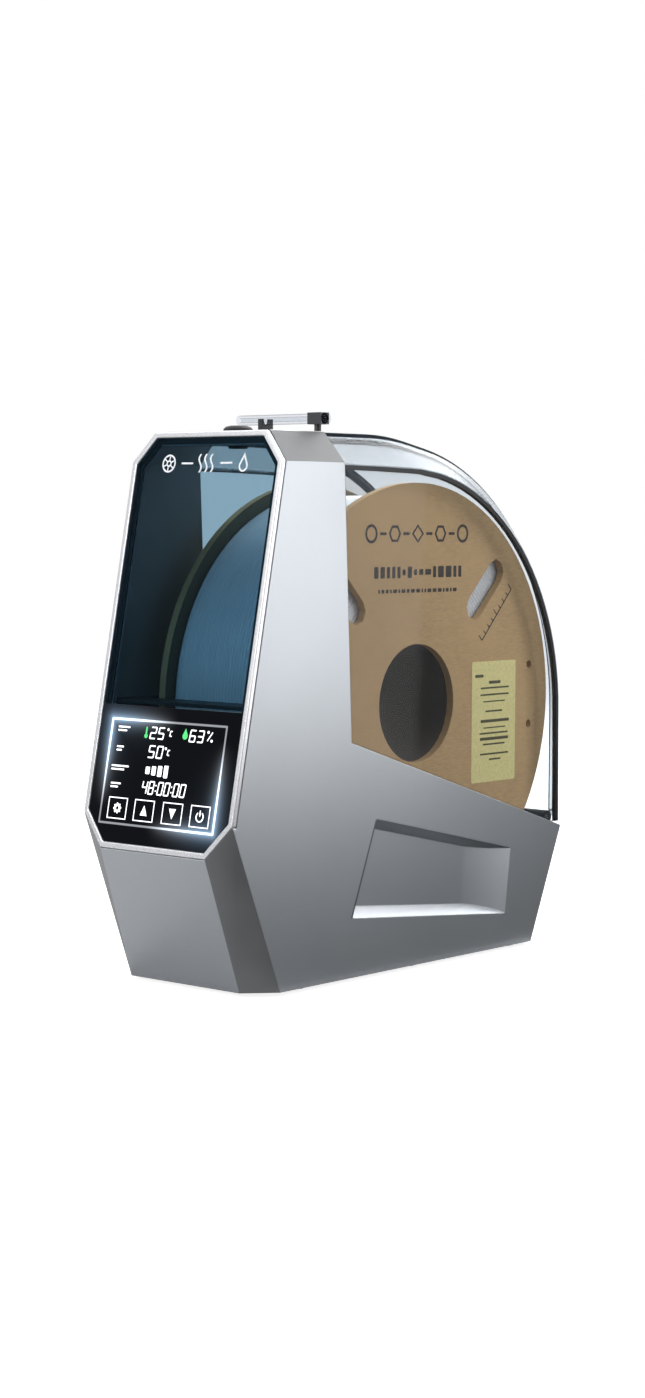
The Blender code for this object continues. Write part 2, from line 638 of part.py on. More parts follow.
def make_hinge():
    outer = [(104.0, 51.0), (118.4, 51.0), (118.4, 56.6), (104.0, 56.6)]
    mesh = plate("hinge_sill", [outer], -41.0, 41.0)
    for point, normal in chamfer_planes(WALL + 0.5)[3::4]:
        slice_off(mesh, point, normal)
    sill = add("hinge_sill", mesh, ((0.015, 0.015, 0.017), 0.0, 0.45))
    for i, sign in enumerate((-1, 1)):
        low, high = sorted((sign * (LID_BARREL_X + 0.5), sign * 31.0))
        fuse(sill, cylinder(f"barrel_{i}", BARREL_R, HINGE, (low, high), count=20))
    reach = LID_BARREL_X + 0.5
    cut(sill, cylinder("sill_clear", BARREL_R + 0.6, HINGE, (-reach, reach), count=20))
    cut(sill, cylinder("sill_bore", PIN_R + 0.2, HINGE, (-33, 33), count=12))
    pin = cylinder("hinge_pin", PIN_R, HINGE, (-30.8, 30.8), count=12)
    add("hinge_pin", pin, ((0.6, 0.6, 0.6), 1.0, 0.3))


def make_air_unit():
    y, z = FAN_YZ
    half = FAN_SIZE / 2
    square = [(y - half, z - half), (y + half, z - half), (y + half, z + half), (y - half, z + half)]
    frame = add("fan_frame", plate("fan_frame", [square, ring(13.0, 32, FAN_YZ)], FAN_X, FAN_X + FAN_T),
                ((0.02, 0.02, 0.02), 0.0, 0.5))
    for i, angle in enumerate((45, 135)):
        strut = stadium(1.0, 34, math.radians(angle), FAN_YZ, 4)
        fuse(frame, plate(f"strut_{i}", [strut], FAN_X + 0.2, FAN_X + 1.6))
    profile = [(0.001, -3.4), (5.0, -3.4), (5.6, -2.8), (5.6, 2.8), (5.0, 3.4), (0.001, 3.4)]
    rotor = add("fan_rotor", lathe("fan_rotor", profile, 24, (0, 0, 0), "X"), ((0.03, 0.03, 0.03), 0.0, 0.5))
    rotor.location = ((FAN_X + 5.6) * MM, y * MM, z * MM)
    for i in range(BLADES):
        blade = fan_blade(f"blade_{i}", 2 * math.pi * i / BLADES)
        fused = add(f"fuse_{blade.name}", blade, cutter=True)
        fused.location = rotor.location
        boolean(rotor, fused, "UNION")
    inner = inset(square, DUCT_WALL)
    add("heater_duct", plate("heater_duct", [square, inner], *DUCT_X), ((0.45, 0.45, 0.47), 0.9, 0.4))
    core = inset(square, DUCT_WALL + GAP)
    low, high = core[0], core[2]
    heater = add("heater_core", plate("heater_core", [[low, (high[0], low[1]), (high[0], low[1] + 4),
                                                       (low[0], low[1] + 4)]], -8, 16),
                 ((0.7, 0.7, 0.7), 1.0, 0.4))
    fins = 8
    pitch = (high[0] - low[0] - 1.2) / (fins - 1)
    for i in range(fins):
        start = low[0] + i * pitch
        fuse(heater, box(f"fin_{i}", (-7.5, 15.5), (start, start + 1.2), (low[1] + 2, high[1])))


def fan_blade(name, turn):
    """One pitched blade about the X axis, from inside the hub to its tip."""
    rows = []
    for radius, width in ((4.6, 5.0), (8.5, 6.0), (12.2, 6.4)):
        pitch = math.radians(38)
        ring_points = []
        for along, thick in ((-1, -1), (1, -1), (1, 1), (-1, 1)):
            u = along * width / 2
            w = thick * 0.45
            x = u * math.sin(pitch) + w * math.cos(pitch)
            t = u * math.cos(pitch) - w * math.sin(pitch)
            ring_points.append((x, radius * math.cos(turn) - t * math.sin(turn),
                                radius * math.sin(turn) + t * math.cos(turn)))
        rows.append(ring_points)
    return loft(name, rows, True)


def make_electrics():
    frame = rear_frame()
    half, high = INLET_W / 2, INLET_H / 2
    edge = [(-half, INLET_S - high), (half, INLET_S - high), (half, INLET_S + high), (-half, INLET_S + high)]
    mesh = plate("power_inlet", [edge], 0.0, INLET_DEPTH, frame)
    inlet = add("power_inlet", mesh, ((0.02, 0.02, 0.02), 0.0, 0.45))
    cut(inlet, plate("inlet_well", [stadium(4.3, 17.0, 0, (0, INLET_S), 8)], -1, 11.0, frame))
    for i, x in enumerate((-4.3, 4.3)):
        mesh = plate(f"inlet_pin_{i + 1}", [ring(1.2, 12, (x, INLET_S))], 2.0, 10.7, frame)
        add(f"inlet_pin_{i + 1}", mesh, ((0.8, 0.75, 0.6), 1.0, 0.25))
    board = add("power_board", box("power_board", (-33.6, -12.0), (42.0, 90.0), (6.0, 7.6)),
                ((0.02, 0.16, 0.08), 0.0, 0.5))
    for i, (x, y, w, d) in enumerate([(-28, 50, 4, 5), (-19, 56, 4, 8), (-27, 74, 5, 6)]):
        fuse(board, box(f"coil_{i}", (x - w, x + w), (y - d, y + d), (7.0, 11.8)))
    add("humidity_sensor", box("humidity_sensor", (14.0, 26.0), (-90.6, -88.8), (104.0, 116.0)),
        ((0.75, 0.76, 0.78), 0.0, 0.5))


def make_top_fittings():
    profile = [(4.8 + GAP, 234.2), (7.4, 234.2), (7.4, 237.7), (4.8 + GAP, 237.7)]
    add("outlet_bushing", lathe("outlet_bushing", profile, 24, (0, PLUG_Y, 0)), ((0.1, 0.1, 0.1), 0.0, 0.6))
    top = PLUG_TOP
    profile = [(0.001, 233.0), (4.0, 233.0), (4.5, 234.0), (4.5, 240.6), (PLUG_R, 240.6), (PLUG_R, 241.6),
               (5.4, top - 0.5), (3.4, top), (0.001, top)]
    shifted = [(r, h - 240.6) for r, h in profile]
    mesh = lathe("outlet_plug", shifted, 28, (0, 0, 0))
    plug = add("outlet_plug", mesh, ((0.015, 0.015, 0.015), 0.0, 0.6))
    plug.location = (0, PLUG_Y * MM, 0.2406)
    axis = (TUBE_Y, TUBE_Z)
    add("guide_tube", plate("guide_tube", [ring(TUBE_R, 20, axis), ring(1.1, 12, axis)], *TUBE_X),
        ((0.85, 0.87, 0.90), 0.0, 0.15, 0.6))
    mesh = box("tube_clamp", CLAMP_X, (TUBE_Y - 2.9, TUBE_Y + 2.9), (243.5, 248.6))
    clamp = add("tube_clamp", mesh, ((0.03, 0.03, 0.035), 0.0, 0.4))
    fuse(clamp, cylinder("clamp_post", 1.5, (POST_X, TUBE_Y), (240.6, 244.0), "Z", 14))
    cut(clamp, cylinder("clamp_bore", TUBE_R + GAP, axis, (20, 40), count=20))
    clip = add("tube_clip", box("tube_clip", (-1.3, 1.3), (TUBE_Y - 3.5, TUBE_Y + 3.5), (240.6, 246.4)),
               ((0.01, 0.01, 0.01), 0.0, 0.4))
    cut(clip, cylinder("clip_bore", TUBE_R + GAP, axis, (-3, 3), count=20))
    cut(clip, box("clip_mouth", (-3, 3), (TUBE_Y - 2.3, TUBE_Y + 2.3), (246.0, 250.0)))


clear_scene()
PARTS = new_collection(NAME)
CUTTERS = new_collection("cutters")
make_casing()
make_front()
make_tub()
make_base()
make_cradle()
make_spool()
make_lid()
make_hinge()
make_air_unit()
make_electrics()
make_top_fittings()
for part in bpy.data.objects:
    part.location.y += CENTRE_SHIFT * MM
    part.data.shade_smooth()
    part.data.set_sharp_from_angle(angle=math.radians(SMOOTH_ANGLE))
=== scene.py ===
"""Looks of the filament dryer box: materials, printed marks, wound filament, display graphics and studio."""
import math
import random

import bmesh
import bpy
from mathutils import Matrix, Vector


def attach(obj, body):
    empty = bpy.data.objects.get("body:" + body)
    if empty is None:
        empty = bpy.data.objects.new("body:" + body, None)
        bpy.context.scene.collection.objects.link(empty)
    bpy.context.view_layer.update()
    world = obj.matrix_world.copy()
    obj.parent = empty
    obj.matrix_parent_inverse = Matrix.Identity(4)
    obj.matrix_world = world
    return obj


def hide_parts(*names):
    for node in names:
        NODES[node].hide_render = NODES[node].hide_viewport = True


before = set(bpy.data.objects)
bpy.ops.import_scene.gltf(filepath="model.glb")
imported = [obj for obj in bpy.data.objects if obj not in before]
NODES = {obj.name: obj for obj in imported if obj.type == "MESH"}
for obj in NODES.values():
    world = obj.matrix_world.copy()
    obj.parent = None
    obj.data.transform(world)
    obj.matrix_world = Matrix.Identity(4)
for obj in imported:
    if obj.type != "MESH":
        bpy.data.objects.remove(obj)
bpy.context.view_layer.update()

MM = 0.001
# the casing's side outline as (y, z) corners in mm, before the shift that centres the model
SHIFT_Y = 0.635
BASE_FRONT = (-103.6, 2.0)
FRONT_LOW = (-123.9, 61.0)
FRONT_TOP = (-87.9, 240.3)
REAR_TOP = (122.5, 52.6)
REAR_LOW = (100.5, 2.0)
FRONT_Y, FRONT_Z = FRONT_LOW[0] + SHIFT_Y, FRONT_LOW[1]
LEAN = math.atan2(FRONT_TOP[0] - FRONT_LOW[0], FRONT_TOP[1] - FRONT_LOW[1])
SPOOL_Y, SPOOL_Z = 14.4 + SHIFT_Y, 119.2
SPOOL_FACE = 33.0
WOUND_R = 94.5
ROOF_EDGE_X = 32.45
GRIP_TOP = (-26.7 + SHIFT_Y, 70.5)
GRIP_LOW = (-43.3 + SHIFT_Y, 28.4)
# raised print on the leaning front: its back and face, in front of the bezel's plane
FRONT_PRINT = (-0.36, -0.28)
KEY_S = 17.5
MARK_S = 168.8

# where the camera stands (m) and how it is turned (degrees)
CAMERA_AT = (0.76049, -0.89436, 0.20390)
CAMERA_TURN = (85.860, -0.238, 40.787)
CAMERA_LENS = 66.04


# ---------------------------------------------------------------- node helpers
class Tree:
    """A material's node tree with short calls for the nodes used here."""

    def __init__(self, name):
        self.mat = bpy.data.materials.new(name)
        self.mat.use_nodes = True
        self.nt = self.mat.node_tree
        self.shader = self.nt.nodes["Principled BSDF"]
        self.out = self.nt.nodes["Material Output"]
        self.coord = None

    def node(self, kind, **values):
        n = self.nt.nodes.new(kind)
        for key, value in values.items():
            setattr(n, key, value)
        return n

    def link(self, a, b):
        self.nt.links.new(a, b)

    def put(self, socket, value):
        if isinstance(value, bpy.types.NodeSocket):
            self.link(value, socket)
        elif isinstance(value, (tuple, list)) and len(value) == 3 and len(socket.default_value) == 4:
            socket.default_value = (*value, 1.0)
        else:
            socket.default_value = value

    def place(self):
        if self.coord is None:
            self.coord = self.node("ShaderNodeTexCoord").outputs["Object"]
        return self.coord

    def scaled(self, scale):
        n = self.node("ShaderNodeVectorMath", operation="MULTIPLY")
        self.link(self.place(), n.inputs[0])
        n.inputs[1].default_value = scale
        return n.outputs[0]

    def xyz(self):
        n = self.node("ShaderNodeSeparateXYZ")
        self.link(self.place(), n.inputs[0])
        return n.outputs

    def math(self, op, a, b=0.0, c=0.0, clamp=False):
        n = self.node("ShaderNodeMath", operation=op, use_clamp=clamp)
        for socket, value in zip(n.inputs, (a, b, c)):
            self.put(socket, value)
        return n.outputs[0]

    def noise(self, scale, detail=3.0, rough=0.5, vector=None):
        n = self.node("ShaderNodeTexNoise")
        n.inputs["Scale"].default_value = scale
        n.inputs["Detail"].default_value = detail
        n.inputs["Roughness"].default_value = rough
        self.link(vector or self.place(), n.inputs["Vector"])
        return n.outputs["Fac"]

    def span(self, value, low, high, to_low=0.0, to_high=1.0, smooth=False):
        n = self.node("ShaderNodeMapRange", clamp=True)
        if smooth:
            n.interpolation_type = "SMOOTHSTEP"
        names = ("Value", "From Min", "From Max", "To Min", "To Max")
        for key, v in zip(names, (value, low, high, to_low, to_high)):
            self.put(n.inputs[key], v)
        return n.outputs[0]

    def mix(self, fac, a, b):
        n = self.node("ShaderNodeMix", data_type="RGBA")
        self.put(n.inputs[0], fac)
        self.put(n.inputs[6], a)
        self.put(n.inputs[7], b)
        return n.outputs[2]

    def bump(self, height, strength, distance, normal=None):
        n = self.node("ShaderNodeBump")
        n.inputs["Strength"].default_value = strength
        n.inputs["Distance"].default_value = distance
        self.link(height, n.inputs["Height"])
        if normal is not None:
            self.link(normal, n.inputs["Normal"])
        return n.outputs[0]

    def soften(self, radius):
        n = self.node("ShaderNodeBevel", samples=4)
        n.inputs["Radius"].default_value = radius
        return n.outputs[0]

    def set(self, **values):
        for key, value in values.items():
            self.put(self.shader.inputs[key.replace("_", " ")], value)

    def set_normal(self, normal):
        self.link(normal, self.shader.inputs["Normal"])


def grip_painted_shade(t):
    """A fine line of painted shade on the casing just ahead of the finger recess, standing in for the shade
    at the recess's front edge: 1 on the line, 0 elsewhere.
    """
    y, z = t.xyz()[1:]
    run = Vector((GRIP_LOW[0] - GRIP_TOP[0], GRIP_LOW[1] - GRIP_TOP[1])).normalized()
    offset = (run.x * GRIP_TOP[1] - run.y * GRIP_TOP[0]) * MM
    ahead = t.math("MULTIPLY_ADD", y, run.y, t.math("MULTIPLY_ADD", z, -run.x, offset))
    band = t.math("MULTIPLY", t.span(ahead, -0.0003, 0.0001), t.span(ahead, 0.0012, 0.0008))
    height = t.math("MULTIPLY", t.span(z, 0.0280, 0.0290), t.span(z, 0.0710, 0.0700))
    return t.math("MULTIPLY", band, height)


def silver_paint(name, base, rough, flake=0.10, metallic=0.85, line=False):
    """Metallic paint: fine flakes in colour and gloss, faint orange peel, softened edges; with line, a line
    of painted shade beside the finger recess.
    """
    t = Tree(name)
    flakes = t.noise(5200.0, 1.0)
    cloud = t.noise(14.0, 3.0)
    tone = t.math("ADD", t.math("MULTIPLY", flakes, 0.7), t.math("MULTIPLY", cloud, 0.3))
    dark = tuple(c * (1 - flake) for c in base)
    light = tuple(min(1.0, c * (1 + flake)) for c in base)
    colour = t.mix(t.span(tone, 0.3, 0.7), dark, light)
    if line:
        # painted shade: a near-black line is mixed into the paint just ahead of the finger recess
        colour = t.mix(t.math("MULTIPLY", grip_painted_shade(t), 0.7), colour, (0.05, 0.052, 0.056))
    t.set(Base_Color=colour, Metallic=metallic)
    t.set(Roughness=t.span(flakes, 0.3, 0.7, rough - 0.04, rough + 0.05))
    t.set(Coat_Weight=0.15, Coat_Roughness=0.25)
    peel = t.noise(900.0, 2.0)
    t.set_normal(t.bump(peel, 0.05, 0.0001, t.soften(0.0007)))
    return t.mat


def plastic(name, base, rough, grain=2600.0, bump=0.12, vary=0.12, coat=0.0, edge=0.0004):
    """Moulded plastic: spark-eroded grain, slight colour and gloss variation."""
    t = Tree(name)
    fine = t.noise(grain, 3.0, 0.6)
    broad = t.noise(22.0, 3.0)
    dark = tuple(c * (1 - vary) for c in base)
    light = tuple(min(1.0, c * (1 + vary)) for c in base)
    t.set(Base_Color=t.mix(t.span(broad, 0.3, 0.7), dark, light))
    t.set(Roughness=t.span(broad, 0.25, 0.75, max(rough - 0.05, 0.02), rough + 0.06))
    if coat:
        t.set(Coat_Weight=coat, Coat_Roughness=0.08)
    t.set_normal(t.bump(fine, bump, 0.00008, t.soften(edge)))
    return t.mat


def rubber(name, base, rough=0.78):
    t = Tree(name)
    dust = t.noise(160.0, 4.0, 0.7)
    t.set(Base_Color=t.mix(t.span(dust, 0.45, 0.8), base, tuple(c * 1.8 + 0.01 for c in base)))
    t.set(Roughness=t.span(dust, 0.3, 0.8, rough - 0.08, rough + 0.1), Sheen_Weight=0.15)
    t.set_normal(t.bump(t.noise(1800.0, 2.0), 0.15, 0.0001, t.soften(0.0003)))
    return t.mat


def metal(name, base, rough, stretch=(30.0, 900.0, 900.0)):
    """Turned or drawn metal: fine lines along one axis."""
    t = Tree(name)
    lines = t.noise(1.0, 3.0, 0.6, t.scaled(stretch))
    t.set(Base_Color=t.mix(lines, tuple(c * 0.85 for c in base), base), Metallic=1.0)
    t.set(Roughness=t.span(lines, 0.3, 0.7, rough - 0.05, rough + 0.1))
    t.set_normal(t.bump(lines, 0.06, 0.00005, t.soften(0.0002)))
    return t.mat


def circuit_board(name):
    t = Tree(name)
    cells = t.node("ShaderNodeTexBrick")
    cells.inputs["Scale"].default_value = 220.0
    cells.inputs["Mortar Size"].default_value = 0.03
    t.link(t.place(), cells.inputs["Vector"])
    t.put(cells.inputs["Color1"], (0.010, 0.120, 0.050))
    t.put(cells.inputs["Color2"], (0.012, 0.150, 0.065))
    t.put(cells.inputs["Mortar"], (0.100, 0.300, 0.120))
    t.set(Base_Color=cells.outputs["Color"], Roughness=0.4, Coat_Weight=0.3)
    t.set_normal(t.bump(cells.outputs["Fac"], 0.2, 0.0001))
    return t.mat


def see_through(name, clear, edge, gloss=0.03, mirror=0.35, wave=0.02, crease=None, haze=0.0):
    """Thin clear sheet: tinted straight-through light, darker at a glancing angle, with a sharp gloss.

    crease is the distance from the middle at which a fold runs; there a dark line of painted shade stands for
    the thick edge looking dark, and a hazy sheet loses its gloss along it."""
    t = Tree(name)
    weight = t.node("ShaderNodeLayerWeight")
    weight.inputs["Blend"].default_value = 0.5
    facing = weight.outputs["Facing"]
    shade = t.mix(t.noise(9.0, 2.0), clear, tuple(c * (1 - wave) for c in clear))
    colour = t.mix(t.math("POWER", facing, 4.0), shade, edge)
    # painted shade: the see-through colour turns near-black along the fold
    if crease:
        across = t.math("ABSOLUTE", t.xyz()[0])
        off = t.math("ABSOLUTE", t.math("SUBTRACT", across, crease + 0.0005))
        colour = t.mix(t.span(off, 0.00115, 0.00085, 0.0, 1.0, True), colour, (0.03, 0.04, 0.05))
    through = t.node("ShaderNodeBsdfTransparent")
    t.link(colour, through.inputs["Color"])
    body = t.mix(t.noise(60.0, 2.0), tuple(c * 0.95 for c in edge), tuple(min(1.0, c * 1.05) for c in edge))
    t.set(Base_Color=body if haze else tuple(c * 0.6 for c in edge), Roughness=gloss, Specular_IOR_Level=1.0)
    shine = t.math("MULTIPLY_ADD", t.math("POWER", facing, 5.0), mirror, 0.035 + haze)
    # the painted shade line also takes away the hazy sheet's gloss along the fold
    if crease and haze:
        shine = t.math("MULTIPLY", shine, t.span(off, 0.00115, 0.00085, 1.0, 0.05, True))
    both = t.node("ShaderNodeMixShader")
    t.link(shine, both.inputs[0])
    t.link(through.outputs[0], both.inputs[1])
    t.link(t.shader.outputs[0], both.inputs[2])
    t.link(both.outputs[0], t.out.inputs["Surface"])
    return t.mat


def glow(name, colour, strength):
    t = Tree(name)
    flicker = t.noise(2600.0, 1.0)
    t.set(Base_Color=colour, Roughness=0.3, Emission_Color=colour)
    t.link(t.span(flicker, 0.2, 0.8, strength * 0.94, strength * 1.04), t.shader.inputs["Emission Strength"])
    return t.mat


def printed(name, colour, rough=0.6):
    t = Tree(name)
    wear = t.noise(700.0, 4.0, 0.7)
    t.set(Base_Color=t.mix(t.span(wear, 0.35, 0.75), colour, tuple(c * 1.25 + 0.004 for c in colour)))
    t.set(Roughness=t.span(wear, 0.3, 0.8, rough - 0.08, rough + 0.1))
    t.set_normal(t.bump(wear, 0.08, 0.00004))
    return t.mat


def card(name, base):
    """Pressed brown card: long fibres, flecks and a soft mottled tone."""
    t = Tree(name)
    fibres = t.noise(1.0, 4.0, 0.65, t.scaled((900.0, 260.0, 1500.0)))
    flecks = t.noise(1500.0, 2.0)
    mottled = t.noise(26.0, 4.0, 0.6)
    tone = t.mix(t.span(mottled, 0.3, 0.7), tuple(c * 0.88 for c in base), tuple(c * 1.10 for c in base))
    fibre = t.mix(t.span(fibres, 0.35, 0.7), tone, tuple(c * 1.22 for c in base))
    t.set(Base_Color=t.mix(t.span(flecks, 0.66, 0.74, 0.0, 0.5), fibre, tuple(c * 0.55 for c in base)))
    t.set(Roughness=t.span(fibres, 0.3, 0.7, 0.72, 0.88), Sheen_Weight=0.08)
    t.set_normal(t.bump(fibres, 0.25, 0.00012, t.soften(0.0003)))
    return t.mat


def filament_look(name):
    t = Tree(name)
    tone = t.noise(40.0, 3.0)
    t.set(Base_Color=t.mix(tone, (0.74, 0.76, 0.80), (0.88, 0.89, 0.91)))
    t.set(Roughness=t.span(tone, 0.3, 0.7, 0.26, 0.36), Subsurface_Weight=0.08, Coat_Weight=0.2)
    t.shader.inputs["Subsurface Radius"].default_value = (0.002, 0.002, 0.002)
    t.set_normal(t.bump(t.noise(1200.0, 2.0), 0.05, 0.00004))
    return t.mat


def touch_glass(name):
    """Black glass with a lit outline round the display; near two opposite corners the outline is brightened,
    turned bluish and spread over the glass as painted highlight and painted glow.
    """
    t = Tree(name)
    x, y, z = t.xyz()
    middle_x, middle_s, half_wide, half_tall = -0.0005, 0.03345, 0.0337, 0.02265
    up = t.math("ADD", t.math("MULTIPLY", t.math("SUBTRACT", y, FRONT_Y * MM), math.sin(LEAN)),
                t.math("MULTIPLY", t.math("SUBTRACT", z, FRONT_Z * MM), math.cos(LEAN)))
    across = t.math("ABSOLUTE", t.math("SUBTRACT", x, middle_x))
    along = t.math("ABSOLUTE", t.math("SUBTRACT", up, middle_s))
    qx = t.math("SUBTRACT", across, half_wide)
    qy = t.math("SUBTRACT", along, half_tall)
    outside = t.math("SQRT", t.math("ADD", t.math("POWER", t.math("MAXIMUM", qx, 0.0), 2.0),
                                    t.math("POWER", t.math("MAXIMUM", qy, 0.0), 2.0)))
    inside = t.math("MINIMUM", t.math("MAXIMUM", qx, qy), 0.0)
    away = t.math("ABSOLUTE", t.math("ADD", outside, inside))
    corner = None
    for cx, cs in ((-0.0342, 0.0561), (0.0332, 0.0108)):
        dx = t.math("SUBTRACT", x, cx)
        ds = t.math("SUBTRACT", up, cs)
        near = t.math("SQRT", t.math("ADD", t.math("MULTIPLY", dx, dx), t.math("MULTIPLY", ds, ds)))
        pull = t.span(near, 0.040, 0.004, 0.0, 1.0, True)
        corner = pull if corner is None else t.math("MAXIMUM", corner, pull)
    # the thin line is the lit outline; near two opposite corners it is brightened and spread into the black
    # glass around it as painted highlight and painted glow
    line = t.span(away, 0.00058, 0.00030, 0.0, 1.0, True)
    painted_corner_glow = t.math("MULTIPLY", t.math("POWER", math.e, t.math("MULTIPLY", away, -620.0)), corner)
    wide = t.math("MULTIPLY", t.math("POWER", math.e, t.math("MULTIPLY", away, -170.0)), corner)
    power = t.math("ADD", t.math("MULTIPLY", line, t.math("ADD", t.math("MULTIPLY", corner, 2.6), 0.45)),
                   t.math("ADD", t.math("MULTIPLY", painted_corner_glow, 0.85), t.math("MULTIPLY", wide, 0.06)))
    t.set(Base_Color=(0.003, 0.004, 0.006), Roughness=0.07, Specular_IOR_Level=0.08)
    t.set(Emission_Color=t.mix(corner, (0.80, 0.84, 0.90), (0.50, 0.72, 1.0)))
    t.link(power, t.shader.inputs["Emission Strength"])
    t.set_normal(t.bump(t.noise(1500.0, 1.0), 0.01, 0.00002, t.soften(0.0003)))
    return t.mat


# ---------------------------------------------------------------- geometry helpers
def link(obj, body, mat=None, smooth=False):
    bpy.context.scene.collection.objects.link(obj)
    if mat is not None:
        obj.data.materials.clear()
        obj.data.materials.append(mat)
    if smooth:
        obj.data.shade_smooth()
    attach(obj, body)
    return obj


def front_point(x, s, out):
    """A point on the leaning front, x across, s up the slope, out in front of it (mm) as metres."""
    y = FRONT_Y + s * math.sin(LEAN) - out * math.cos(LEAN)
    z = FRONT_Z + s * math.cos(LEAN) + out * math.sin(LEAN)
    return Vector((x, y, z)) * MM


def spool_point(y, z, out):
    """A point on the right flange's outer face, from the spool's centre (mm) as metres."""
    return Vector((SPOOL_FACE + out, SPOOL_Y + y, SPOOL_Z + z)) * MM


class Print:
    """Collects thin raised shapes on one flat face and turns them into a single mesh."""

    def __init__(self, where, low, high):
        self.bm = bmesh.new()
        self.where, self.low, self.high = where, low, high

    def shape(self, outline):
        base = [self.bm.verts.new(self.where(u, v, self.low)) for u, v in outline]
        top = [self.bm.verts.new(self.where(u, v, self.high)) for u, v in outline]
        count = len(outline)
        self.bm.faces.new(base[::-1])
        self.bm.faces.new(top)
        for i in range(count):
            j = (i + 1) % count
            self.bm.faces.new((base[i], base[j], top[j], top[i]))

    def band(self, outer, inner):
        rows = [[self.bm.verts.new(self.where(u, v, h)) for u, v in ring]
                for ring, h in ((outer, self.high), (inner, self.high), (inner, self.low), (outer, self.low))]
        count = len(outer)
        for a, b in zip(rows, rows[1:] + rows[:1]):
            for i in range(count):
                j = (i + 1) % count
                self.bm.faces.new((a[i], a[j], b[j], b[i]))

    def bar(self, u, v, width, height, turn=0.0, corner=0.0):
        self.shape(bar_outline(u, v, width, height, turn, corner))

    def mesh(self, name):
        bmesh.ops.recalc_face_normals(self.bm, faces=self.bm.faces)
        mesh = bpy.data.meshes.new(name)
        self.bm.to_mesh(mesh)
        self.bm.free()
        return mesh


def bar_outline(u, v, width, height, turn=0.0, corner=0.0, steps=3):
    w, h = width / 2, height / 2
    r = min(corner, w, h)
    points = []
    for sx, sy, start in ((1, 1, 0), (-1, 1, 90), (-1, -1, 180), (1, -1, 270)):
        if r <= 0:
            points.append((sx * w, sy * h))
            continue
        for i in range(steps + 1):
            a = math.radians(start + 90 * i / steps)
            points.append((sx * (w - r) + r * math.cos(a), sy * (h - r) + r * math.sin(a)))
    c, s = math.cos(turn), math.sin(turn)
    return [(u + a * c - b * s, v + a * s + b * c) for a, b in points]


def circle(u, v, r, count=24):
    return [(u + r * math.cos(2 * math.pi * i / count), v + r * math.sin(2 * math.pi * i / count))
            for i in range(count)]


# each segment's middle, in widths and half heights from the figure's middle, and whether it lies flat
SEGMENTS = {"a": (0, 1, True), "b": (0.5, 0.5, False), "c": (0.5, -0.5, False), "d": (0, -1, True),
            "e": (-0.5, -0.5, False), "f": (-0.5, 0.5, False), "g": (0, 0, True)}
DIGITS = {"0": "abcdef", "1": "bc", "2": "abged", "3": "abgcd", "4": "fgbc", "5": "afgcd", "6": "afgedc",
          "7": "abc", "8": "abcdefg", "9": "abcdfg", "C": "adef"}


def digit(art, char, u, v, width, height, thick, slant=0.12):
    """One seven-segment figure standing on v with its left edge at u, leaning to the right."""
    cu, cv = u + width / 2, v + height / 2
    for key in DIGITS[char]:
        px, py, flat = SEGMENTS[key]
        x = cu + px * (width - thick)
        y = cv + py * (height - thick) / 2
        size = (width - thick * 0.9, thick) if flat else (thick, (height - thick) / 2 - thick * 0.1)
        outline = bar_outline(x, y, *size, corner=thick * 0.3)
        art.shape([(a + (b - cv) * slant, b) for a, b in outline])


def row_of_digits(art, text, u, v, width, height, thick, gap):
    for char in text:
        if char == ":":
            for part in (0.3, 0.7):
                art.bar(u + thick * 0.6, v + height * part, thick, thick)
            u += thick * 1.2 + gap
        else:
            digit(art, char, u, v, width, height, thick)
            u += width + gap
    return u


# ---------------------------------------------------------------- display and window marks
def make_display(white, green):
    art = Print(front_point, *FRONT_PRINT)
    row_of_digits(art, "25", -10.6, 48.4, 3.6, 5.4, 0.60, 1.1)
    row_of_digits(art, "63", 12.6, 48.4, 3.6, 5.4, 0.60, 1.1)
    row_of_digits(art, "50", -10.2, 40.2, 3.7, 5.6, 0.60, 1.1)
    row_of_digits(art, "48:00:00", -11.2, 24.6, 3.2, 5.9, 0.60, 0.72)
    for u, v in ((-0.2, 51.0), (-0.2, 42.8)):
        art.band(circle(u, v + 2.0, 0.62, 10), circle(u, v + 2.0, 0.3, 10))
        digit(art, "C", u + 1.1, v - 1.0, 1.6, 2.6, 0.5)
    for u, v in ((23.2, 53.2), (25.6, 49.6)):
        art.shape(circle(u, v, 0.62, 10))
    art.bar(24.4, 51.4, 0.5, 4.6, -0.6)
    for i in range(4):
        art.bar(-9.2 + i * 3.6, 34.9, 2.4, 3.2 + i * 0.7, corner=0.4)
    for u, v, w in ((-26.6, 52.0, 7.0), (-27.5, 43.4, 4.2), (-26.0, 35.0, 10.4), (-27.2, 27.4, 6.0)):
        art.bar(u, v + 0.75, w, 0.75, corner=0.3)
        art.bar(u - w * 0.12, v - 0.75, w * 0.76, 0.75, corner=0.3)
    for left, right in ((-30.9, -17.5), (-15.1, -1.3), (1.7, 15.4), (18.1, 31.3)):
        mid = (left + right) / 2
        size = right - left - 2.0
        art.band(bar_outline(mid, KEY_S, size, 9.4), bar_outline(mid, KEY_S, size - 0.9, 8.5))
    gear(art, -24.2, KEY_S)
    art.shape([(-10.2, 15.4), (-6.2, 15.4), (-8.2, 19.8)])
    art.shape([(6.55, 19.6), (10.55, 19.6), (8.55, 15.2)])
    power_mark(art, 24.7, 17.4)
    figures = bpy.data.objects.new("display_figures", art.mesh("display_figures"))
    link(figures, "casing", white)
    marks = Print(front_point, *FRONT_PRINT)
    marks.shape(drop_outline(10.0, 50.8, 1.5))
    marks.bar(-13.0, 51.6, 0.9, 4.0, corner=0.45)
    marks.shape(circle(-13.0, 49.6, 1.0, 14))
    symbols = bpy.data.objects.new("display_symbols", marks.mesh("display_symbols"))
    link(symbols, "casing", green)


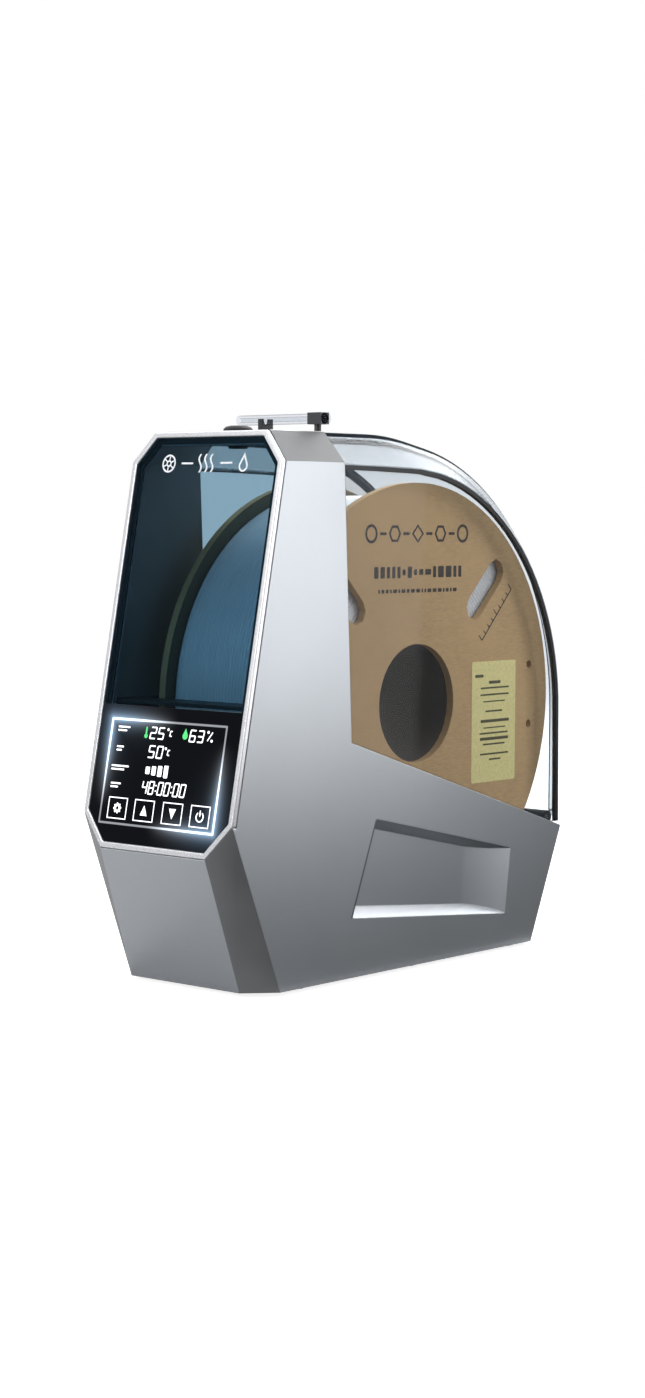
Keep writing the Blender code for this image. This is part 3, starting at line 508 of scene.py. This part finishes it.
def gear(art, u, v):
    outer = []
    teeth = 8
    for i in range(teeth * 4):
        r = 2.35 if i % 4 in (0, 1) else 1.85
        a = 2 * math.pi * i / (teeth * 4)
        outer.append((u + r * math.cos(a), v + r * math.sin(a)))
    art.band(outer, circle(u, v, 0.85, teeth * 4))


def power_mark(art, u, v):
    steps = 20
    for i in range(steps):
        a, b = (math.radians(125 + 290 * k / steps) for k in (i, i + 1))
        corners = ((1.7, a), (2.3, a), (2.3, b), (1.7, b))
        art.shape([(u + r * math.cos(t), v + r * math.sin(t)) for r, t in corners])
    art.bar(u, v + 1.5, 0.6, 2.6, corner=0.25)


def drop_outline(u, v, r):
    turns = [math.radians(a) for a in range(160, 381, 20)]
    points = [(u + r * math.cos(a), v + r * math.sin(a)) for a in turns]
    return points + [(u, v + 2.2 * r)]


def make_window_marks(white):
    """Wordless marks across the top of the window: a spool, warm air and a drop."""
    art = Print(front_point, *FRONT_PRINT)
    s = MARK_S
    for r_out, r_in in ((4.0, 3.2), (1.5, 0.8)):
        art.band(circle(-22.0, s, r_out, 32), circle(-22.0, s, r_in, 32))
    for i in range(6):
        a = math.pi / 3 * i + 0.4
        art.bar(-22.0 + 2.35 * math.cos(a), s + 2.35 * math.sin(a), 1.5, 0.6, a)
    for k in range(3):
        rows = [(0.9 * math.sin(i / 12 * 2 * math.pi), -4.0 + 8.0 * i / 12) for i in range(13)]
        for (x0, y0), (x1, y1) in zip(rows, rows[1:]):
            u = -3.4 + 3.4 * k
            art.shape([(u + x0 - 0.45, s + y0), (u + x0 + 0.45, s + y0), (u + x1 + 0.45, s + y1),
                       (u + x1 - 0.45, s + y1)])
    art.band(drop_outline(22.0, s - 1.4, 2.6), drop_outline(22.0, s - 1.4, 1.75))
    art.bar(-11.0, s, 7.0, 0.8, corner=0.4)
    art.bar(12.0, s, 7.0, 0.8, corner=0.4)
    link(bpy.data.objects.new("window_marks", art.mesh("window_marks")), "casing", white)


# ---------------------------------------------------------------- spool
def make_winding(mat):
    """Layers of wound strand: a turned body whose rim and sides are ridged by the strands."""
    pitch, half, outer, inner = 1.76, 28.9, WOUND_R - 0.8, 30.8
    profile = []
    across = int(2 * half / pitch)
    for i in range(across):
        for k in range(5):
            a = math.pi * k / 5
            x = -half + (i + (1 - math.cos(a)) / 2) * pitch * (2 * half / (across * pitch))
            profile.append((outer + 0.55 * math.sin(a), x))
    layers = int((outer - inner) / pitch)
    side = [(inner + (j + (1 - math.cos(math.pi * k / 4)) / 2) * (outer - inner) / layers,
             half - 0.6 + 0.5 * math.sin(math.pi * k / 4)) for j in range(layers) for k in range(4)]
    profile += side[::-1] + [(inner, half - 0.6), (inner, -half + 0.6)] + [(r, -x) for r, x in side]
    bm = bmesh.new()
    count = 108
    rows = []
    for i in range(count):
        a = 2 * math.pi * i / count
        rows.append([bm.verts.new(Vector((x, SPOOL_Y + r * math.cos(a), SPOOL_Z + r * math.sin(a))) * MM)
                     for r, x in profile])
    for a, b in zip(rows, rows[1:] + rows[:1]):
        for i in range(len(profile)):
            j = (i + 1) % len(profile)
            bm.faces.new((a[i], a[j], b[j], b[i]))
    bmesh.ops.recalc_face_normals(bm, faces=bm.faces)
    mesh = bpy.data.meshes.new("wound_filament")
    bm.to_mesh(mesh)
    bm.free()
    obj = link(bpy.data.objects.new("wound_filament", mesh), "spool", mat, True)
    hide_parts("filament_winding")


def make_spool_marks(ink, label, label_ink):
    """Plain printed marks on the right flange: shapes, bars, a filling scale and a paper label."""
    art = Print(spool_point, 0.02, 0.07)
    rng = random.Random(7)
    for i, sides in enumerate((24, 0, 6, 0, 4, 0, 6, 0, 24)):
        u, v = -33.0 + i * 8.25, 77.0
        if sides:
            art.band(circle(u, v, 4.3, sides), circle(u, v, 3.0, sides))
        else:
            art.bar(u, v, 4.6, 1.3, corner=0.5)
    u = -31.0
    while u < 31.0:
        wide = rng.choice((2.2, 3.0, 4.2))
        art.bar(u + wide / 2, 59.6, wide, 5.2 if rng.random() > 0.3 else 2.6, corner=0.5)
        u += wide + 1.5
    u = -28.0
    while u < 28.5:
        wide = rng.choice((1.2, 2.0, 2.8))
        art.bar(u + wide / 2, 51.2, wide, 1.7, corner=0.4)
        u += wide + 1.0
    scale_marks(art)
    link(bpy.data.objects.new("spool_print", art.mesh("spool_print")), "spool", ink)
    paper = Print(spool_point, 0.015, 0.11)
    paper.bar(58.0, -11.5, 34.0, 57.0, corner=1.0)
    link(bpy.data.objects.new("spool_label", paper.mesh("spool_label")), "spool", label)
    text = Print(spool_point, 0.115, 0.16)
    v = 7.0
    while v > -31:
        wide = rng.choice((9.0, 13.0, 17.0, 22.0))
        text.bar(58.5 + rng.uniform(-0.6, 0.6), v, wide, rng.choice((0.6, 0.8, 1.4)), corner=0.25)
        v -= rng.choice((2.6, 3.2, 4.6))
    text.bar(46.6, 10.2, 6.4, 1.4, corner=0.5)
    link(bpy.data.objects.new("label_print", text.mesh("label_print")), "spool", label_ink)


def scale_marks(art):
    """A straight filling scale beside one of the flange's windows."""
    start, end = Vector((48.5, 27.0)), Vector((71.0, 50.5))
    run = end - start
    turn = math.atan2(run.y, run.x)
    side = Vector((-run.y, run.x)).normalized()
    mid = (start + end) / 2
    art.bar(mid.x, mid.y, run.length, 0.6, turn, 0.2)
    for i in range(9):
        tick = 3.4 if i % 4 == 0 else 2.2
        at = start + run * i / 8 + side * tick / 2
        art.bar(at.x, at.y, tick, 0.55, turn + math.pi / 2, 0.15)


# ---------------------------------------------------------------- assign materials
def paint(mat, *names):
    for name in names:
        obj = NODES[name]
        obj.data.materials.clear()
        obj.data.materials.append(mat)


def smooth(names, angle=32):
    """Round faces shade smoothly: the triangles are welded, then split again only at real edges."""
    for name in names:
        obj = NODES[name]
        mesh = obj.data
        if "custom_normal" in mesh.attributes:
            mesh.attributes.remove(mesh.attributes["custom_normal"])
        mesh.polygons.foreach_set("use_smooth", [True] * len(mesh.polygons))
        obj.modifiers.new("weld", "WELD").merge_threshold = 0.00001
        split = obj.modifiers.new("edges", "EDGE_SPLIT")
        split.split_angle = math.radians(angle)
        split.use_edge_sharp = False


def line_depth(point, start, end):
    """How far a (y, z) point lies inside a profile edge that runs from start to end, clockwise."""
    run = Vector(end) - Vector(start)
    off = Vector(point) - Vector(start)
    return (off.x * run.y - off.y * run.x) / run.length


def casing_inside(centre):
    """True for the casing's inner faces, which take the darker grey material, from a face's centre in mm."""
    x, y, z = abs(centre.x), centre.y - SHIFT_Y, centre.z
    side_skin, recess_skin = 42.4, 38.9
    in_recess = -50 < y < 76 and 14 < z < 75
    if x > side_skin or (x > recess_skin and in_recess):
        return False
    front = line_depth((y, z), FRONT_LOW, FRONT_TOP)
    low_front = line_depth((y, z), BASE_FRONT, FRONT_LOW)
    rear = line_depth((y, z), REAR_TOP, REAR_LOW)
    below_corner_cut = x + z < FRONT_TOP[1] + 32.0
    return front > 3.5 and low_front > 1.5 and rear > 1.5 and 2.5 < z < 239.0 and below_corner_cut


def soften_casing():
    """The folded corner cuts and the recess's rising floor shade as smooth bends; the rest stays flat."""
    smooth(["outer_casing"], 17)
    for face in NODES["outer_casing"].data.polygons:
        slant = abs(face.normal.x)
        x, y, z = face.center / MM
        corner_cut = 0.4 < slant < 0.8 and face.normal.y < -0.6
        in_recess = abs(x) > 38.8 and 25 < y < 76 and 14 < z < 60
        face.use_smooth = corner_cut or (0.95 < slant < 0.9998 and in_recess)


def dress():
    casing = NODES["outer_casing"]
    # line=True darkens a line of painted shade into the casing paint beside the finger recess
    paint(silver_paint("casing_paint", (0.455, 0.482, 0.512), 0.40, line=True), "outer_casing")
    casing.data.materials.append(plastic("casing_inner", (0.22, 0.225, 0.235), 0.6, 1800.0, 0.15))
    for face in casing.data.polygons:
        face.material_index = int(casing_inside(face.center / MM))
    paint(silver_paint("bezel_silver", (0.80, 0.81, 0.84), 0.28, 0.012, 0.5), "front_bezel")
    black = plastic("black_moulding", (0.016, 0.017, 0.019), 0.48)
    paint(black, "inner_tub", "hinge_sill", "lid_hinge_leaf", "tube_clip", "power_inlet", "outlet_bushing")
    paint(plastic("cover_moulding", (0.028, 0.028, 0.030), 0.62, 1800.0, 0.2), "bottom_cover")
    paint(plastic("clamp_moulding", (0.030, 0.031, 0.036), 0.36, 2200.0, 0.1, coat=0.2), "tube_clamp")
    paint(plastic("fan_moulding", (0.020, 0.020, 0.021), 0.5), "fan_frame", "fan_rotor")
    paint(plastic("mask_print", (0.004, 0.005, 0.007), 0.35, bump=0.02), "window_mask")
    paint(plastic("display_housing", (0.05, 0.05, 0.06), 0.5), "display_module")
    paint(plastic("sensor_housing", (0.72, 0.73, 0.75), 0.5), "humidity_sensor")
    paint(circuit_board("circuit_board"), "control_board", "power_board")
    paint(metal("sheet_metal", (0.56, 0.56, 0.58), 0.38, (60.0, 60.0, 1400.0)), "heater_duct", "heater_core")
    paint(metal("axle_steel", (0.62, 0.62, 0.64), 0.22), "front_axle", "rear_axle", "hinge_pin")
    paint(metal("screw_steel", (0.42, 0.42, 0.44), 0.3, (500.0, 500.0, 40.0)),
          *[f"screw_{i}" for i in range(1, 7)])
    paint(metal("contact_metal", (0.82, 0.72, 0.50), 0.2, (900.0, 60.0, 60.0)), "inlet_pin_1", "inlet_pin_2")
    paint(rubber("plug_rubber", (0.014, 0.014, 0.015)), "outlet_plug", *[f"foot_{i}" for i in range(1, 5)])
    paint(rubber("roller_rubber", (0.040, 0.041, 0.044), 0.68), "roller_front_left", "roller_front_right",
          "roller_rear_left", "roller_rear_right")
    paint(card("flange_card", (0.60, 0.385, 0.185)), "spool_flange_left", "spool_flange_right")
    # painted shade: the flanges' inward faces get a much darker card, standing in for the shade between the
    # flanges; on the real spool both faces are the same card
    painted_shade_card = card("painted_shade_card", (0.16, 0.125, 0.080))
    for name, side in (("spool_flange_left", -1), ("spool_flange_right", 1)):
        NODES[name].data.materials.append(painted_shade_card)
        for face in NODES[name].data.polygons:
            face.material_index = int(face.normal.x * side < -0.9)
    paint(card("core_card", (0.10, 0.078, 0.060)), "spool_core")
    paint(see_through("tinted_window", (0.55, 0.69, 0.77), (0.05, 0.09, 0.12), 0.04), "front_window")
    roof = NODES["lid_shell"]
    paint(see_through("clear_roof", (0.955, 0.972, 0.985), (0.55, 0.61, 0.67)), "lid_shell")
    roof.data.materials.append(see_through("clear_band", (0.92, 0.94, 0.955), (0.40, 0.44, 0.48), 0.3,
                                           crease=ROOF_EDGE_X * MM, haze=0.17))
    for face in roof.data.polygons:
        face.material_index = int(abs(face.center.x) > 0.0326 and abs(face.normal.x) < 0.95)
    paint(see_through("clear_side", (0.965, 0.978, 0.988), (0.45, 0.52, 0.58)),
          "lid_side_left", "lid_side_right")
    paint(plastic("dark_seal", (0.005, 0.007, 0.011), 0.5, 800.0, 0.03), "lid_trim_left", "lid_trim_right")
    paint(see_through("guide_tube", (0.93, 0.94, 0.96), (0.35, 0.37, 0.42), 0.12), "guide_tube")
    paint(touch_glass("touch_glass"), "touch_panel")
    white = glow("display_light", (0.95, 0.97, 1.0), 1.0)
    make_display(white, glow("display_green", (0.08, 0.62, 0.18), 0.6))
    make_window_marks(printed("mark_white", (0.85, 0.88, 0.92), 0.4))
    make_winding(filament_look("filament"))
    make_spool_marks(printed("brown_ink", (0.040, 0.026, 0.018)), printed("label_paper", (0.90, 0.78, 0.34)),
                     printed("label_ink", (0.10, 0.085, 0.035)))
    round_names = [n for n in NODES if n.startswith(("spool_", "roller_", "screw_", "foot_", "lid_trim"))]
    smooth(round_names + ["lid_shell", "lid_side_left", "lid_side_right", "guide_tube", "outlet_plug",
                          "front_axle", "rear_axle", "hinge_pin", "fan_rotor", "fan_frame", "outlet_bushing",
                          "lid_hinge_leaf", "hinge_sill", "tube_clamp", "tube_clip", "power_inlet",
                          "inlet_pin_1", "inlet_pin_2"])
    soften_casing()


# ---------------------------------------------------------------- studio
def aim(obj, eye, target):
    obj.location = eye
    obj.rotation_euler = (Vector(target) - Vector(eye)).to_track_quat("-Z", "Y").to_euler()


def area(name, eye, target, size, power, tint=(1.0, 1.0, 1.0)):
    data = bpy.data.lights.new(name, "AREA")
    data.shape = "RECTANGLE"
    data.size, data.size_y = size
    data.energy = power
    data.color = tint
    obj = bpy.data.objects.new(name, data)
    bpy.context.scene.collection.objects.link(obj)
    aim(obj, eye, target)
    obj.visible_camera = False
    return obj


def camera_only(tree, low, high):
    """A value that is high where the camera looks straight at the surface and low for all other light."""
    path = tree.nodes.new("ShaderNodeLightPath")
    spread = tree.nodes.new("ShaderNodeMapRange")
    tree.links.new(path.outputs["Is Camera Ray"], spread.inputs["Value"])
    spread.inputs["To Min"].default_value = low
    spread.inputs["To Max"].default_value = high
    return spread.outputs[0]


def panel(name, corners, colour, shown):
    mesh = bpy.data.meshes.new(name)
    mesh.from_pydata(corners, [], [(0, 1, 2, 3)])
    mat = bpy.data.materials.new(name)
    mat.use_nodes = True
    shader = mat.node_tree.nodes["Principled BSDF"]
    shader.inputs["Base Color"].default_value = (*colour, 1.0)
    shader.inputs["Roughness"].default_value = 0.9
    shader.inputs["Specular IOR Level"].default_value = 0.1
    mesh.materials.append(mat)
    obj = bpy.data.objects.new(name, mesh)
    bpy.context.scene.collection.objects.link(obj)
    if shown:
        shader.inputs["Emission Color"].default_value = (1.0, 1.0, 1.0, 1.0)
        mat.node_tree.links.new(camera_only(mat.node_tree, 0.0, 0.87), shader.inputs["Emission Strength"])
    else:
        obj.visible_camera = False
        obj.visible_shadow = False
        obj.visible_transmission = False
    return obj


def studio():
    panel("floor", [(-9, -9, 0), (9, -9, 0), (9, 9, 0), (-9, 9, 0)], (0.52, 0.52, 0.52), True)
    for name, y0, y1, tone in (("grey_card", -0.9, -0.04, 0.05), ("dark_card", -0.04, 2.5, 0.015)):
        panel(name, [(0.05, y0, 0.002), (2.5, y0, 0.002), (2.5, y1, 0.002), (0.05, y1, 0.002)],
              (tone, tone, tone * 1.1), False)
    for name, (x0, y0), (x1, y1) in (("dark_flag_rear", (0.18, 1.16), (1.12, 0.44)),
                                     ("dark_flag_right", (1.12, 0.44), (1.25, -0.45))):
        panel(name, [(x0, y0, 0.0), (x1, y1, 0.0), (x1, y1, 0.45), (x0, y0, 0.45)],
              (0.03, 0.03, 0.034), False)
    world = bpy.data.worlds.new("studio")
    world.use_nodes = True
    bpy.context.scene.world = world
    sky = world.node_tree.nodes["Background"]
    sky.inputs["Color"].default_value = (1.0, 1.0, 1.0, 1.0)
    world.node_tree.links.new(camera_only(world.node_tree, 0.38, 1.0), sky.inputs["Strength"])
    area("side_glow", (0.40, 0.22, 0.27), (0.044, -0.11, 0.18), (0.30, 0.44), 1.22)
    area("soft_left", (-1.25, -0.75, 1.5), (0.0, 0.0, 0.12), (0.9, 0.9), 9.0)
    area("soft_front", (-0.25, -0.95, 0.55), (0.0, 0.0, 0.14), (0.45, 0.45), 4.6)
    area("soft_back", (-0.24, 1.1, 0.95), (0.0, 0.0, 0.16), (1.0, 0.7), 20.0)
    area("soft_top", (0.1, 0.2, 1.6), (0.0, 0.0, 0.1), (1.2, 1.2), 8.0)


def camera():
    data = bpy.data.cameras.new("camera")
    obj = bpy.data.objects.new("camera", data)
    bpy.context.scene.collection.objects.link(obj)
    obj.location = CAMERA_AT
    obj.rotation_euler = [math.radians(turn) for turn in CAMERA_TURN]
    data.sensor_fit = "AUTO"
    data.sensor_width = 36.0
    data.lens = CAMERA_LENS
    data.shift_y = 0.002
    data.clip_start, data.clip_end = 0.01, 50.0
    bpy.context.scene.camera = obj


dress()
studio()
camera()
bpy.context.scene.view_settings.view_transform = "Standard"
